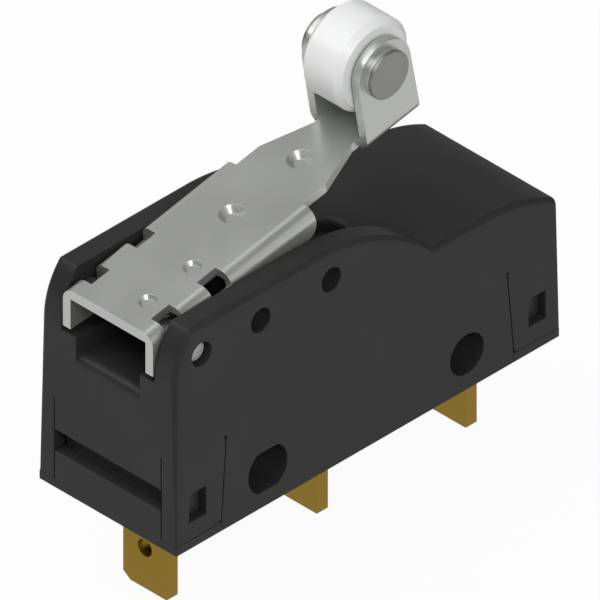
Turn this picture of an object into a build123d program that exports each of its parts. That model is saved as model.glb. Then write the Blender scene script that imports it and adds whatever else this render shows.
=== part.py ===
from build123d import *
from math import cos, radians, sin, sqrt, tan
import os

# Lever-operated micro switch, in millimetres. +X runs along the case from the
# hinge end to the roller end, +Y from the near side to the far side, +Z up.
# The origin is the centre of the round mounting hole, on the mid-plane.

os.makedirs("parts", exist_ok=True)

# Case and its two mounting holes
body_length = 48.84
body_width = 17.45
mount_pitch = 25.4
mount_height = 3.85
mount_hole_d = 4.3
slot_hole_d = 5.0
boss_reach = 3.55
boss_top = 6.9
boss_floor = 0.8
boss_round = 2.6
draft_angle = 0.75
edge_radius = 0.55
corner_foot_radius = 0.1

# Outline of the case seen from the side, heights above its underside
cheek_height = 23.75
nose_drop = 5.55
nose_radius = 8.3
nose_round = 0.5
ramp_start = 18.13
ramp_radius = 20.5
block_height = 17.4
block_end_run = 9.3
block_end_radius = 19.3

# Trough between the cheeks
trough_width = 11.95
trough_end_gap = 2.63
trough_floor = 15.9
trough_lip_radius = 1.0
trough_end_round = 0.6
ledge_drop = 2.72
ledge_width = 1.9
ledge_end = 21.6

# Chamber inside the case
side_wall = 1.5
end_wall = 1.3
ceiling_height = 14.2
arc_space_height = 15.6
arc_space_start = 31.6
arc_space_inset = 2.3
chamber_round = 0.8

# Snap tongues at the four corners, with a window for each latch nub
tongue_top_reach = 6.43
tongue_foot_reach = 5.68
tongue_side_reach = 1.83
tongue_top = 10.0
tongue_foot = 1.0
tongue_gap = 0.15
tongue_root_d = 0.4
tongue_round = 0.45
window_start = 1.67
window_length = 2.2
window_low = 2.87
window_high = 5.93
window_gap = 0.12
nub_sink = 0.87
nub_round = 0.45
panel_height = 4.1
end_slot_high = 6.45

# Base that closes the case from below
base_thickness = 2.0
base_gap = 0.06
riser_wall = 1.2
riser_height = 7.6
corner_block_length = 3.35
corner_block_width = 1.9
collar_height = 2.0
collar_wall = 1.2

# Terminal blades and their arms
blade_width = 5.55
blade_thickness = 1.42
blade_reach = 10.14
blade_chamfer_y = 0.93
blade_chamfer_z = 0.66
blade_hole_d = 1.8
blade_hole_drop = 5.7
common_gap = 2.03
open_offset = 0.17
closed_gap = 2.2
slot_gap = 0.03
shoulder_height = 4.6
arm_width = 5.0
arm_bend = 1.0

# Snap mechanism: heights above the underside, places from the left end
spring_height = 11.0
spring_thickness = 0.3
spring_width = 7.6
spring_leg = 1.7
spring_start = 7.2
spring_bridge_end = 18.5
spring_window_gap = 3.5
spring_tail = 2.5
contact_inset = 3.88
contact_travel = 0.8
contact_gap = 0.05
contact_d = 3.8
contact_head = 0.65
contact_edge = 0.15
shank_d = 1.8
contact_overhang = 0.5
fixed_head = 0.55
tail_head = 0.45
tail_head_d = 2.8
clamp_start = 6.6
clamp_end = 9.8
clamp_thickness = 0.8
clamp_gap = 0.05
clamp_rivet_d = 1.6
clamp_rivet_gap = 0.1
clamp_rivet_head_d = 2.4
clamp_rivet_head = 0.6
fulcrum_place = 20.5
fulcrum_sheet = 0.7
fulcrum_drop = 1.1
fulcrum_rise = 1.0
fulcrum_width = 3.0
tongue_width = 2.4
tongue_bow = 0.75
tongue_clearance = 0.15

# Plunger, which the lever presses on the snap spring
plunger_place = 16.3
plunger_d = 3.4
plunger_gap = 0.05
plunger_tip_d = 2.2
plunger_tip_gap = 0.17
plunger_flange_d = 5.2
plunger_flange = 1.0
plunger_stop_gap = 0.05
plunger_travel = 0.33
plunger_lever_gap = 0.08
plunger_dome = 0.4
guide_d = 5.4
guide_drop = 1.12

# Hinge of the lever
hinge_place = 3.51
hinge_drop = 3.23
hinge_hole_d = 2.5
hinge_pin_gap = 0.02
hinge_pin_sink = 1.1
hinge_pin_chamfer = 0.2
lever_hole_gap = 0.05
spare_hole_places = [11.03, 20.03]

# Lever, pressed from one sheet; lengths along it start at the hinge
sheet = 0.95
rest_angle = 10.76
lever_width = 11.48
lever_bend_radius = 1.3
web_rise = 2.8
heel_drop = 2.12
lug_reach = 2.9
lug_drop = 2.2
lug_rise_reach = 5.2
flange_depth = 2.9
flange_end = 17.9
flange_end_round = 1.4
notch_inner = 3.8
notch_depth = 1.9
notch_spans = [(-1.3, 1.05), (4.6, 7.05)]
small_dimple_d = 1.8
small_dimple_depth = 0.35
small_dimple_taper = 40
small_dimples = [(0.2, -1.93), (5.85, -2.08)]
cone_dimple_d = 2.5
cone_dimple_depth = 0.6
cone_dimple_taper = 45
cone_dimples = [(13.06, 0), (21.9, 0)]

# Neck and fork of the lever
neck_width = 8.45
neck_start = 20.9
neck_waist = 4.8
neck_waist_start = 26.1
fork_width = 7.3
fork_bend_radius = 1.2
fork_start = 26.9
fork_length = 6.83
ear_round = 3.3
ear_shift = 0.12
axle_reach = 30.3
axle_rise = 9.27

# Roller, its rivet pin and the washers under the rivet's heads
roller_d = 9.45
roller_width = 4.95
roller_edge = 0.62
axle_d = 3.2
axle_gap = 0.05
axle_head_d = 4.85
axle_head = 0.38
axle_head_edge = 0.06
washer_thickness = 0.43
washer_d = 4.9

# Spring that lifts the lever
lift_place = 7.3
lift_spring_d = 3.1
lift_wire_d = 0.4
lift_turns = 5
lift_pocket_d = 3.5
lift_pocket_depth = 0.7
lift_gap = 0.1

# Places and levels worked out from the sizes
left = -(body_length + mount_pitch) / 2
right = left + body_length
middle = (left + right) / 2
bottom = -mount_height
cheek_top = bottom + cheek_height
hinge_z = cheek_top - hinge_drop
block_top = bottom + block_height
floor_z = bottom + trough_floor
ledge_z = hinge_z - ledge_drop
guide_top_z = hinge_z - guide_drop
ceiling_z = bottom + ceiling_height
panel_z = bottom + panel_height
half_width = body_width / 2
half_trough = trough_width / 2
inner_half = half_width - side_wall
mount_places = [0.0, -mount_pitch]
spring_z = bottom + spring_height
spring_top_z = spring_z + spring_thickness
open_face_z = spring_z - contact_head - contact_gap - contact_travel
closed_face_z = spring_top_z + contact_head + contact_gap
open_arm_top_z = open_face_z - fixed_head
closed_arm_low_z = closed_face_z + fixed_head
common_x = -mount_pitch - boss_reach - common_gap - blade_thickness / 2
open_x = middle + open_offset
closed_x = boss_reach + closed_gap + blade_thickness / 2
contact_x = closed_x - contact_inset
plunger_x = left + plunger_place
hinge_x = left + hinge_place
web_low = web_rise - sheet
hinge_pin_d = hinge_hole_d - 2 * hinge_pin_gap
lean = tan(radians(draft_angle))
rest_cos = cos(radians(rest_angle))
rest_sin = sin(radians(rest_angle))

# Planes of the lever at rest: its side, its cross-section and the top of its web
side_plane = Plane(origin=(hinge_x, 0, hinge_z), x_dir=(rest_cos, 0, rest_sin), z_dir=(0, -1, 0))
section_plane = Plane(origin=(hinge_x, 0, hinge_z), x_dir=(0, 1, 0), z_dir=(rest_cos, 0, rest_sin))
web_plane = Plane(
    origin=(hinge_x - web_rise * rest_sin, 0, hinge_z + web_rise * rest_cos),
    x_dir=(rest_cos, 0, rest_sin),
    z_dir=(-rest_sin, 0, rest_cos),
)
axle_x = hinge_x + axle_reach * rest_cos - axle_rise * rest_sin
axle_z = hinge_z + axle_reach * rest_sin + axle_rise * rest_cos
nose_z = cheek_top - nose_drop
nose_top_x = left + nose_radius - sqrt(nose_radius**2 - nose_drop**2)
ramp_x = left + ramp_start
ramp_centre_rise = ramp_radius - cheek_height + block_height
ramp_foot_x = ramp_x + sqrt(ramp_radius**2 - ramp_centre_rise**2)
trough_end_x = ramp_foot_x - trough_end_gap
flat_end_x = right - block_end_run
end_x = right - lean * block_height
end_z = block_top - block_end_radius + sqrt(block_end_radius**2 - (end_x - flat_end_x) ** 2)
top_half = half_width - lean * cheek_height
nose_half = half_width - lean * (nose_z - bottom)
tongue_side = half_width - tongue_side_reach
panel_half = tongue_side - tongue_gap
nub_z = bottom + (window_low + window_high) / 2
base_half = inner_half - base_gap
plate_left = left + end_wall + base_gap
plate_right = right - end_wall - base_gap
collar_half = blade_thickness / 2 + collar_wall
slot_half = blade_thickness / 2 + slot_gap
ledge_foot = tongue_foot_reach + tongue_gap - base_gap
clamp_x = left + (spring_start + clamp_end) / 2
arm_overhang = contact_d / 2 + contact_overhang
open_arm_low_z = open_arm_top_z - blade_thickness
spring_left = left + spring_start
spring_right = contact_x + spring_tail
bridge_x = left + spring_bridge_end
window_x = contact_x - spring_window_gap
fulcrum_x = left + fulcrum_place
tongue_x = fulcrum_x + fulcrum_sheet + tongue_clearance
lift_x = left + lift_place
heel_room = 2 * hinge_place
lug_room = 2 * lug_drop
fork_top = axle_rise + ear_round + 1
head_face = fork_width / 2 + washer_thickness + axle_head
level_tip_z = hinge_z + web_low - cone_dimple_depth
plunger_top_z = level_tip_z + plunger_travel - plunger_lever_gap
lift_radius = (lift_spring_d - lift_wire_d) / 2
lift_low_z = floor_z - lift_pocket_depth + lift_wire_d / 2
lift_edge_x = lift_x - lift_spring_d / 2 - hinge_x
lift_top_z = hinge_z + (web_low + lift_edge_x * rest_sin) / rest_cos - lift_gap - lift_wire_d / 2
lift_pitch = (lift_top_z - lift_low_z) / lift_turns


def nearest(shapes, point):
    """The shape of a list that lies nearest to a point."""
    return shapes.sort_by_distance(point)[0]


def lever_side(dx, dz):
    """Lengths along and square to the lever of a point given from the hinge in X and Z."""
    return dx * rest_cos + dz * rest_sin, dz * rest_cos - dx * rest_sin


def from_end(end, distance):
    """X of a place at a distance inside the left (-1) or right (1) end of the case."""
    return middle + end * (body_length / 2 - distance)


def box_between(low, high, mode=Mode.ADD):
    """Block between two opposite corners, joined to or cut from the current part."""
    centre = [(a + b) / 2 for a, b in zip(low, high)]
    with Locations(tuple(centre)):
        Box(high[0] - low[0], high[1] - low[1], high[2] - low[2], mode=mode)


def on_rim(edge):
    """True for an outer edge that follows the case's outline above its upright walls."""
    centre = edge.center()
    along = abs(edge.tangent_at(0.5).Y) < 0.5
    on_block = centre.X > ramp_foot_x and centre.Z > end_z
    on_cheek = centre.X < ramp_foot_x and centre.Z > nose_z + edge_radius
    return along and (on_block or on_cheek)


def draft_side_walls():
    """Trim the current part to the near and far walls, which lean inwards."""
    with BuildSketch(Plane.YZ.offset(left - 1)) as end_view:
        Polygon(
            (-half_width, bottom),
            (half_width, bottom),
            (top_half, cheek_top),
            (-top_half, cheek_top),
            align=None,
        )
    extrude(end_view.sketch, amount=body_length + 2, mode=Mode.INTERSECT)


def corner_section(z, y, radius):
    """Sketch at a height of what a round corner of the hinge end at y leaves outside."""
    side = 1 if y > 0 else -1
    inner_y = y - side * radius
    with BuildSketch(Plane.XY.offset(z)) as section:
        with BuildLine():
            RadiusArc((left, inner_y), (left + radius, y), side * radius)
            Polyline(
                (left + radius, y),
                (left + radius, y + side),
                (left - 1, y + side),
                (left - 1, inner_y),
                (left, inner_y),
            )
        make_face()
    return section.sketch


def terminal_blade(x, top_z):
    """Blade that hangs through the base, with one clipped corner and an eye."""
    with BuildSketch(Plane.YZ.offset(x - blade_thickness / 2)) as blade:
        Polygon(
            (-blade_width / 2, top_z),
            (-blade_width / 2, bottom - blade_reach),
            (blade_width / 2 - blade_chamfer_y, bottom - blade_reach),
            (blade_width / 2, bottom - blade_reach + blade_chamfer_z),
            (blade_width / 2, top_z),
            align=None,
        )
        with Locations((0, bottom - blade_hole_drop)):
            Circle(blade_hole_d / 2, mode=Mode.SUBTRACT)
    extrude(blade.sketch, amount=blade_thickness)


def bent_arm(x, arm_end, low_z, width, outer):
    """Strip that rises above a blade at x and bends level towards arm_end."""
    toward = 1 if arm_end > x else -1
    back = x - toward * blade_thickness / 2
    front = x + toward * blade_thickness / 2
    with BuildSketch(Plane.XZ) as side:
        Polygon(
            (back, bottom + shoulder_height),
            (front, bottom + shoulder_height),
            (front, low_z),
            (arm_end, low_z),
            (arm_end, low_z + blade_thickness),
            (back, low_z + blade_thickness),
            align=None,
        )
        fillet(nearest(side.vertices(), (back, low_z + blade_thickness)), outer)
        fillet(nearest(side.vertices(), (front, low_z)), arm_bend / 2)
    extrude(side.sketch, amount=width / 2, both=True)


def disc(x, low_z, diameter, height, edge=0.0, mode=Mode.ADD):
    """Upright disc, with a chamfer round its top or, if edge is negative, its foot."""
    r = diameter / 2
    e = abs(edge)
    foot = r - e if edge < 0 else r
    head = r - e if edge > 0 else r
    with BuildSketch(Plane.XZ) as half:
        Polygon(
            (x, low_z),
            (x + foot, low_z),
            (x + r, low_z + (e if edge < 0 else 0)),
            (x + r, low_z + height - (e if edge > 0 else 0)),
            (x + head, low_z + height),
            (x, low_z + height),
            align=None,
        )
    revolve(half.sketch, Axis((x, 0, 0), (0, 0, 1)), mode=mode)


def pressed_dimple(along, across, diameter, depth, taper):
    """Dimple pressed down through the lever's web, hollow above and proud below."""
    for plane, mode in ((web_plane.offset(-sheet), Mode.ADD), (web_plane, Mode.SUBTRACT)):
        with BuildSketch(plane) as mark:
            with Locations((along, across)):
                Circle(diameter / 2)
        extrude(mark.sketch, amount=-depth, taper=taper, mode=mode)


# Block at the roller end, rounded along its top
with BuildPart() as block_form:
    with BuildSketch(Plane.XZ):
        with BuildLine():
            Polyline((end_x, end_z), (right, bottom), (ramp_x, bottom), (ramp_x, block_top))
            Line((ramp_x, block_top), (flat_end_x, block_top))
            RadiusArc((flat_end_x, block_top), (end_x, end_z), block_end_radius)
        make_face()
    extrude(amount=body_width, both=True)
    draft_side_walls()
    fillet(block_form.edges().filter_by(on_rim), edge_radius)

# High part with the outline of the cheeks: nose, flat top and ramp
with BuildPart() as cheek_form:
    with BuildSketch(Plane.XZ) as outline:
        with BuildLine():
            Polyline((left + nose_radius, bottom), (left + nose_radius, nose_z), (left, nose_z))
            TangentArc((left, nose_z), (nose_top_x, cheek_top), tangent=(0, 1))
            Line((nose_top_x, cheek_top), (ramp_x, cheek_top))
            RadiusArc((ramp_x, cheek_top), (ramp_foot_x, block_top), ramp_radius)
            Polyline((ramp_foot_x, block_top), (ramp_foot_x, bottom), (left + nose_radius, bottom))
        make_face()
        fillet(nearest(outline.vertices(), (nose_top_x, cheek_top)), nose_round)
    extrude(amount=body_width, both=True)
    draft_side_walls()
    fillet(cheek_form.edges().filter_by(on_rim), edge_radius)

# Hinge end below the nose, its upright corners rounder towards the nose
with BuildPart() as end_form:
    box_between((left, -half_width, bottom), (left + nose_radius, half_width, nose_z))
    draft_side_walls()
    for side in (-1, 1):
        foot = corner_section(bottom, side * half_width, corner_foot_radius)
        head = corner_section(nose_z, side * nose_half, edge_radius)
        loft([foot, head], mode=Mode.SUBTRACT)

# Case: trough, chamber, bosses, holes and corner tongues cut into both forms
with BuildPart() as housing:
    add(block_form.part)
    add(cheek_form.part)
    add(end_form.part)

    # Trough, stepped at the ledges that carry the lever's heels
    with BuildSketch(Plane.YZ.offset(left - 1)):
        with Locations((0, (floor_z + cheek_top + 1) / 2)):
            Rectangle(trough_width - 2 * ledge_width, cheek_top + 1 - floor_z)
        with Locations((0, (ledge_z + cheek_top + 1) / 2)):
            Rectangle(trough_width, cheek_top + 1 - ledge_z)
    extrude(amount=trough_end_x - left + 1, mode=Mode.SUBTRACT)
    box_between(
        (left + ledge_end, -half_trough, floor_z),
        (trough_end_x, half_trough, cheek_top + 1),
        Mode.SUBTRACT,
    )
    lip = nearest(housing.edges().filter_by(Axis.Y), (left, 0, floor_z))
    fillet(lip, trough_lip_radius)
    trough_rim = nearest(housing.edges().filter_by(Axis.Y), (trough_end_x, 0, cheek_top))
    fillet(trough_rim, trough_end_round)

    # Chamber, open below, higher under the block to clear the arc
    with BuildSketch(Plane.XY.offset(bottom)):
        with Locations((middle, 0)):
            RectangleRounded(body_length - 2 * end_wall, 2 * inner_half, chamber_round)
    extrude(amount=ceiling_height, mode=Mode.SUBTRACT)
    box_between(
        (left + arc_space_start, -inner_half + chamber_round, ceiling_z - 1),
        (right - arc_space_inset, inner_half - chamber_round, bottom + arc_space_height),
        Mode.SUBTRACT,
    )

    # Bosses round the mounting holes, from wall to wall
    with BuildSketch(Plane.XZ) as bosses:
        for x in mount_places:
            with Locations((x, bottom + (boss_floor + base_gap + boss_top) / 2)):
                Rectangle(2 * boss_reach, boss_top - boss_floor - base_gap)
        fillet(bosses.vertices().group_by(Axis.Y)[-1], boss_round)
    extrude(amount=inner_half + side_wall / 2, both=True)

    # Guide of the plunger and pocket of the lifting spring
    with BuildSketch(Plane.XY.offset(ceiling_z)):
        with Locations((plunger_x, 0)):
            Circle(guide_d / 2)
    extrude(amount=guide_top_z - ceiling_z)
    with BuildSketch(Plane.XY.offset(guide_top_z)):
        with Locations((plunger_x, 0)):
            Circle(plunger_d / 2 + plunger_gap)
    extrude(amount=ceiling_z - guide_top_z - 1, mode=Mode.SUBTRACT)
    with BuildSketch(Plane.XY.offset(floor_z - lift_pocket_depth)):
        with Locations((left + lift_place, 0)):
            Circle(lift_pocket_d / 2)
    extrude(amount=lift_pocket_depth + 1, mode=Mode.SUBTRACT)

    # Round hole, double-D hole and the hinge holes through both cheeks
    with BuildSketch(Plane.XZ):
        Circle(mount_hole_d / 2)
        for x in [hinge_x] + [left + place for place in spare_hole_places]:
            with Locations((x, hinge_z)):
                Circle(hinge_hole_d / 2)
    extrude(amount=body_width, both=True, mode=Mode.SUBTRACT)
    with BuildSketch(Plane.XZ):
        with Locations((-mount_pitch, 0)):
            Circle(slot_hole_d / 2)
            Rectangle(slot_hole_d + 1, mount_hole_d, mode=Mode.INTERSECT)
    extrude(amount=body_width, both=True, mode=Mode.SUBTRACT)

    # Slits, feet and windows of the corner tongues, through both side walls
    with BuildSketch(Plane.XZ) as tongue_cuts:
        for end in (-1, 1):
            Polygon(
                (from_end(end, -1), bottom - 1),
                (from_end(end, tongue_foot_reach + tongue_gap), bottom - 1),
                (from_end(end, tongue_foot_reach + tongue_gap), bottom + tongue_foot),
                (from_end(end, tongue_top_reach + tongue_gap), bottom + tongue_top),
                (from_end(end, tongue_top_reach), bottom + tongue_top),
                (from_end(end, tongue_foot_reach), bottom + tongue_foot),
                (from_end(end, -1), bottom + tongue_foot),
                align=None,
            )
        for end in (-1, 1):
            foot = nearest(tongue_cuts.vertices(), (from_end(end, tongue_foot_reach), 0, bottom + tongue_foot))
            fillet(foot, tongue_round)
            with Locations((from_end(end, tongue_top_reach), bottom + tongue_top)):
                Circle(tongue_root_d / 2)
            nub_x = from_end(end, window_start + window_length / 2)
            with Locations((nub_x, nub_z)):
                Rectangle(window_length, window_high - window_low)
    extrude(amount=body_width, both=True, mode=Mode.SUBTRACT)

    # Gap for the base's end panel and slits beside it, in both end walls
    for end in (-1, 1):
        outer = from_end(end, -1)
        inner = from_end(end, end_wall + chamber_round)
        with BuildSketch(Plane.YZ.offset(outer)) as panel_gap:
            with Locations((0, bottom)):
                Rectangle(2 * tongue_side, 2 * end_slot_high)
                Rectangle(body_width + 2, 2 * tongue_foot)
            for side in (-1, 1):
                foot = nearest(panel_gap.vertices(), (0, side * tongue_side, bottom + tongue_foot))
                fillet(foot, tongue_round)
        extrude(amount=inner - outer, mode=Mode.SUBTRACT)
        for side in (-1, 1):
            edge = side * tongue_side
            slit = side * (tongue_side - tongue_gap)
            box_between(
                (min(outer, inner), min(edge, slit), bottom),
                (max(outer, inner), max(edge, slit), bottom + tongue_top),
                Mode.SUBTRACT,
            )
housing.part.label = "housing"
export_step(housing.part, "parts/housing.step")

# Base: tub with corner blocks inside the case, ledges and end panels outside
with BuildPart() as base:
    with BuildSketch(Plane.XY.offset(bottom)):
        with Locations((middle, 0)):
            RectangleRounded(plate_right - plate_left, 2 * base_half, chamber_round)
    extrude(amount=riser_height)
    with BuildSketch(Plane.XZ):
        for end in (-1, 1):
            with Locations((from_end(end, window_start + window_length / 2), nub_z)):
                RectangleRounded(
                    window_length - 2 * window_gap,
                    window_high - window_low - 2 * window_gap,
                    nub_round,
                )
    extrude(amount=half_width - nub_sink, both=True)
    box_between(
        (plate_left + riser_wall, -base_half + corner_block_width, bottom + base_thickness),
        (plate_right - riser_wall, base_half - corner_block_width, ceiling_z),
        Mode.SUBTRACT,
    )
    box_between(
        (plate_left + corner_block_length, -half_width, bottom + base_thickness),
        (plate_right - corner_block_length, half_width, ceiling_z),
        Mode.SUBTRACT,
    )

    # Ledges under the tongues and the panels in the end walls
    with BuildSketch(Plane.XY.offset(bottom)):
        with Locations((middle, 0)):
            Rectangle(body_length, body_width)
            Rectangle(body_length - 2 * ledge_foot, body_width, mode=Mode.SUBTRACT)
    extrude(amount=tongue_foot - base_gap)
    for end in (-1, 1):
        outer = from_end(end, 0)
        inner = from_end(end, end_wall + base_gap + riser_wall)
        box_between(
            (min(outer, inner), -panel_half, bottom),
            (max(outer, inner), panel_half, panel_z),
        )

    # Collars round the terminals, and room for the case's bosses
    for x in (common_x, open_x, closed_x):
        box_between(
            (x - collar_half, -blade_width / 2 - collar_wall, bottom),
            (x + collar_half, blade_width / 2 + collar_wall, bottom + base_thickness + collar_height),
        )
        box_between(
            (x - slot_half, -blade_width / 2 - slot_gap, bottom - 1),
            (x + slot_half, blade_width / 2 + slot_gap, ceiling_z),
            Mode.SUBTRACT,
        )
    for x in mount_places:
        box_between(
            (x - boss_reach - base_gap, -half_width, bottom + boss_floor),
            (x + boss_reach + base_gap, half_width, ceiling_z),
            Mode.SUBTRACT,
        )
base.part.label = "base"
export_step(base.part, "parts/base.step")

# Common terminal: its foot carries the fixed end of the snap spring
foot_low_z = spring_z - clamp_gap - fulcrum_sheet - blade_thickness
with BuildPart() as common_terminal:
    terminal_blade(common_x, bottom + shoulder_height)
    bent_arm(common_x, left + clamp_end, foot_low_z, arm_width, arm_bend)
    disc(clamp_x, foot_low_z - 1, clamp_rivet_d, blade_thickness + 2, mode=Mode.SUBTRACT)
common_terminal.part.label = "common_terminal"
export_step(common_terminal.part, "parts/common_terminal.step")

# Normally open terminal: its arm lies under the moving contact
with BuildPart() as open_terminal:
    terminal_blade(open_x, bottom + shoulder_height)
    bent_arm(open_x, contact_x + arm_overhang, open_arm_low_z, arm_width, arm_bend)
    disc(contact_x, open_arm_low_z - 1, shank_d, blade_thickness + 2, mode=Mode.SUBTRACT)
open_terminal.part.label = "open_terminal"
export_step(open_terminal.part, "parts/open_terminal.step")

# Normally closed terminal: its arm reaches back over the moving contact
with BuildPart() as closed_terminal:
    terminal_blade(closed_x, bottom + shoulder_height)
    bent_arm(closed_x, contact_x - arm_overhang, closed_arm_low_z, arm_width, arm_bend)
    disc(contact_x, closed_arm_low_z - 1, shank_d, blade_thickness + 2, mode=Mode.SUBTRACT)
closed_terminal.part.label = "closed_terminal"
export_step(closed_terminal.part, "parts/closed_terminal.step")

# Fixed contacts: rivets through the arms, with a flat tail on the far face
with BuildPart() as open_contact:
    disc(contact_x, open_arm_top_z, contact_d, fixed_head, contact_edge)
    disc(contact_x, open_arm_low_z - tail_head, shank_d, blade_thickness + tail_head)
    disc(contact_x, open_arm_low_z - tail_head, tail_head_d, tail_head, -contact_edge)
open_contact.part.label = "open_contact"
export_step(open_contact.part, "parts/open_contact.step")

with BuildPart() as closed_contact:
    disc(contact_x, closed_face_z, contact_d, fixed_head, -contact_edge)
    disc(contact_x, closed_arm_low_z, shank_d, blade_thickness + tail_head)
    disc(contact_x, closed_arm_low_z + blade_thickness, tail_head_d, tail_head, contact_edge)
closed_contact.part.label = "closed_contact"
export_step(closed_contact.part, "parts/closed_contact.step")

# Snap spring: flat strip with two legs beside a bowed tongue
with BuildPart() as snap_spring:
    with BuildSketch(Plane.XY.offset(spring_z)) as strip:
        with Locations(((spring_left + spring_right) / 2, 0)):
            Rectangle(spring_right - spring_left, spring_width)
        fillet(strip.vertices(), spring_leg / 2)
        with Locations(((bridge_x + window_x) / 2, 0)):
            Rectangle(window_x - bridge_x, spring_width - 2 * spring_leg, mode=Mode.SUBTRACT)
    extrude(amount=spring_thickness)
    with BuildSketch(Plane.XZ) as bow:
        with BuildLine():
            tip = (tongue_x, spring_z)
            root = (window_x + spring_thickness, spring_z)
            crest = ((tongue_x + window_x) / 2, spring_z + tongue_bow)
            ThreePointArc(tip, crest, root)
            Line(root, (root[0], spring_top_z))
            lifted_crest = (crest[0], crest[1] + spring_thickness)
            ThreePointArc((root[0], spring_top_z), lifted_crest, (tongue_x, spring_top_z))
            Line((tongue_x, spring_top_z), tip)
        make_face()
    extrude(amount=tongue_width / 2, both=True)
    disc(contact_x, spring_z - 1, shank_d, 2, mode=Mode.SUBTRACT)
    disc(clamp_x, spring_z - 1, clamp_rivet_d + 2 * clamp_rivet_gap, 2, mode=Mode.SUBTRACT)
snap_spring.part.label = "snap_spring"
export_step(snap_spring.part, "parts/snap_spring.step")

# Moving contact: a rivet with a contact face above and below the spring
with BuildPart() as moving_contact:
    disc(contact_x, spring_z - contact_head, contact_d, contact_head, -contact_edge)
    disc(contact_x, spring_z - contact_head / 2, shank_d, contact_head + spring_thickness)
    disc(contact_x, spring_top_z, contact_d, contact_head, contact_edge)
moving_contact.part.label = "moving_contact"
export_step(moving_contact.part, "parts/moving_contact.step")

# Fulcrum bracket: clamped under the spring, it dips under it and holds the tongue
bracket_top_z = spring_z - clamp_gap
with BuildPart() as fulcrum_bracket:
    with BuildSketch(Plane.XZ) as bracket_side:
        dip_z = bracket_top_z - fulcrum_drop
        step_x = left + clamp_end
        Polygon(
            (left + clamp_start, bracket_top_z),
            (step_x + fulcrum_sheet / 2, bracket_top_z),
            (step_x + fulcrum_sheet / 2 + fulcrum_drop, dip_z),
            (fulcrum_x, dip_z),
            (fulcrum_x, spring_top_z + fulcrum_rise),
            (fulcrum_x + fulcrum_sheet, spring_top_z + fulcrum_rise),
            (fulcrum_x + fulcrum_sheet, dip_z - fulcrum_sheet),
            (step_x + fulcrum_drop, dip_z - fulcrum_sheet),
            (step_x, bracket_top_z - fulcrum_sheet),
            (left + clamp_start, bracket_top_z - fulcrum_sheet),
            align=None,
        )
    extrude(amount=fulcrum_width / 2, both=True)
    disc(clamp_x, dip_z - 1, clamp_rivet_d, fulcrum_drop + 2, mode=Mode.SUBTRACT)
fulcrum_bracket.part.label = "fulcrum_bracket"
export_step(fulcrum_bracket.part, "parts/fulcrum_bracket.step")

# Clamp plate and rivet that hold the spring's fixed end on the common terminal
clamp_low_z = spring_top_z + clamp_gap
with BuildPart() as clamp_plate:
    box_between(
        (left + clamp_start, -spring_width / 2, clamp_low_z),
        (left + clamp_end, spring_width / 2, clamp_low_z + clamp_thickness),
    )
    fillet(clamp_plate.edges().filter_by(Axis.Z), arm_bend / 2)
    disc(clamp_x, clamp_low_z - 1, clamp_rivet_d, clamp_thickness + 2, mode=Mode.SUBTRACT)
clamp_plate.part.label = "clamp_plate"
export_step(clamp_plate.part, "parts/clamp_plate.step")

with BuildPart() as clamp_rivet:
    rivet_low_z = foot_low_z - clamp_rivet_head
    rivet_top_z = clamp_low_z + clamp_thickness
    disc(clamp_x, rivet_low_z, clamp_rivet_head_d, clamp_rivet_head, -contact_edge)
    disc(clamp_x, rivet_low_z, clamp_rivet_d, rivet_top_z - rivet_low_z)
    disc(clamp_x, rivet_top_z, clamp_rivet_head_d, clamp_rivet_head, contact_edge)
clamp_rivet.part.label = "clamp_rivet"
export_step(clamp_rivet.part, "parts/clamp_rivet.step")

# Plunger: tip over the spring, flange under the ceiling, stem and domed button
with BuildPart() as plunger:
    tip_z = spring_top_z + plunger_tip_gap
    flange_top_z = ceiling_z - plunger_stop_gap
    disc(plunger_x, tip_z, plunger_tip_d, flange_top_z - tip_z, -contact_edge)
    disc(plunger_x, flange_top_z - plunger_flange, plunger_flange_d, plunger_flange)
    disc(plunger_x, flange_top_z, plunger_d, plunger_top_z - flange_top_z, plunger_dome)
plunger.part.label = "plunger"
export_step(plunger.part, "parts/plunger.step")

# Hinge pin, its ends sunk below the outer faces of the cheeks
with BuildPart() as hinge_pin:
    with BuildSketch(Plane.XZ):
        with Locations((hinge_x, hinge_z)):
            Circle(hinge_pin_d / 2)
    extrude(amount=half_width - lean * (hinge_z - bottom) - hinge_pin_sink, both=True)
    chamfer(hinge_pin.edges().filter_by(GeomType.CIRCLE), hinge_pin_chamfer)
hinge_pin.part.label = "hinge_pin"
export_step(hinge_pin.part, "parts/hinge_pin.step")

# Fork of the lever: ears bent up from the web, round above the roller's axle
with BuildPart() as fork:
    with BuildSketch(section_plane.offset(fork_start)) as ears:
        with Locations((0, (web_low + fork_top) / 2)):
            Rectangle(fork_width, fork_top - web_low)
        fillet(ears.vertices().group_by(Axis.Y)[0], fork_bend_radius)
        with Locations((0, (web_rise + fork_top) / 2)):
            Rectangle(fork_width - 2 * sheet, fork_top - web_rise, mode=Mode.SUBTRACT)
    extrude(amount=fork_length)
    with BuildSketch(side_plane) as ear_outline:
        with BuildLine():
            CenterArc((axle_reach + ear_shift, axle_rise - ear_shift), ear_round, 0, 360)
            Line((fork_start, web_low), (fork_start + fork_length, web_low))
        make_hull()
    extrude(amount=fork_width, both=True, mode=Mode.INTERSECT)
    with BuildSketch(side_plane):
        with Locations((axle_reach, axle_rise)):
            Circle(axle_d / 2)
    extrude(amount=fork_width, both=True, mode=Mode.SUBTRACT)

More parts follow.
